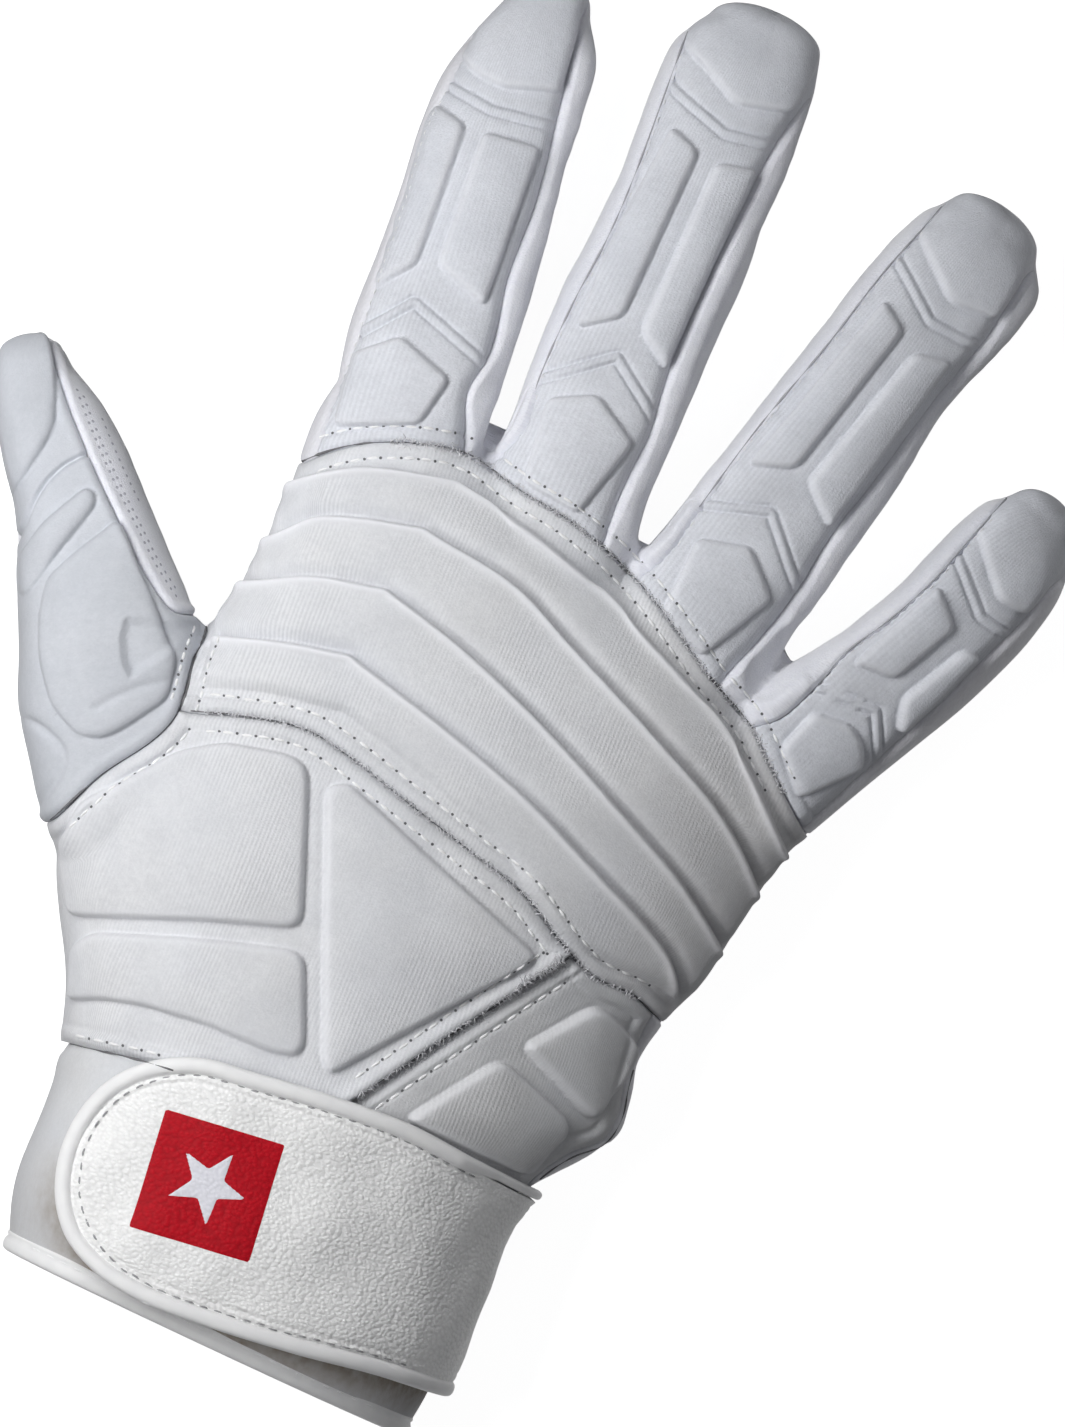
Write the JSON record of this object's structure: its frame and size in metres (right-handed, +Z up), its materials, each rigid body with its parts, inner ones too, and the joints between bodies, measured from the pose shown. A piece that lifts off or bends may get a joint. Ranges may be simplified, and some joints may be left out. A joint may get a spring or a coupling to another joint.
{
  "type": "lineman football glove",
  "caption": "Padded right-hand glove with raised pads over the knuckles, fingers and back of the hand, and a wide wrist strap with a rounded end.",
  "frame": {"origin": "on the surface the palm rests on, under the middle of the whole glove's box", "axes": "+Y from the wrist to the middle fingertip, +X towards the little finger, +Z up out of the back of the hand"},
  "size_m": [0.1846, 0.2491, 0.0447],
  "materials": {
    "padded_cloth": "matte fine-ribbed stretch cloth over foam",
    "side_cloth": "matte soft knitted cloth",
    "palm_leather": "matte fine-grained synthetic leather",
    "strap_leather": "satin pebble-grained synthetic leather",
    "binding_leather": "satin smooth synthetic leather",
    "red_print": "matte transfer print"
  },
  "bodies": {
    "root": {"palm": "palm_leather", "index_back": "padded_cloth", "middle_back": "padded_cloth", "ring_back": "padded_cloth", "little_back": "padded_cloth", "thumb_back": "padded_cloth", "thumb_gusset": "side_cloth", "fourchette_index_middle": "side_cloth", "fourchette_middle_ring": "side_cloth", "fourchette_ring_little": "side_cloth", "knuckle_panel": "padded_cloth", "hand_back_panel": "padded_cloth", "outer_side_panel": "padded_cloth", "cuff": "side_cloth", "cuff_hem": "binding_leather", "wrist_strap": "strap_leather", "strap_binding": "binding_leather", "strap_patch": "red_print"}
  },
  "joints": []
}
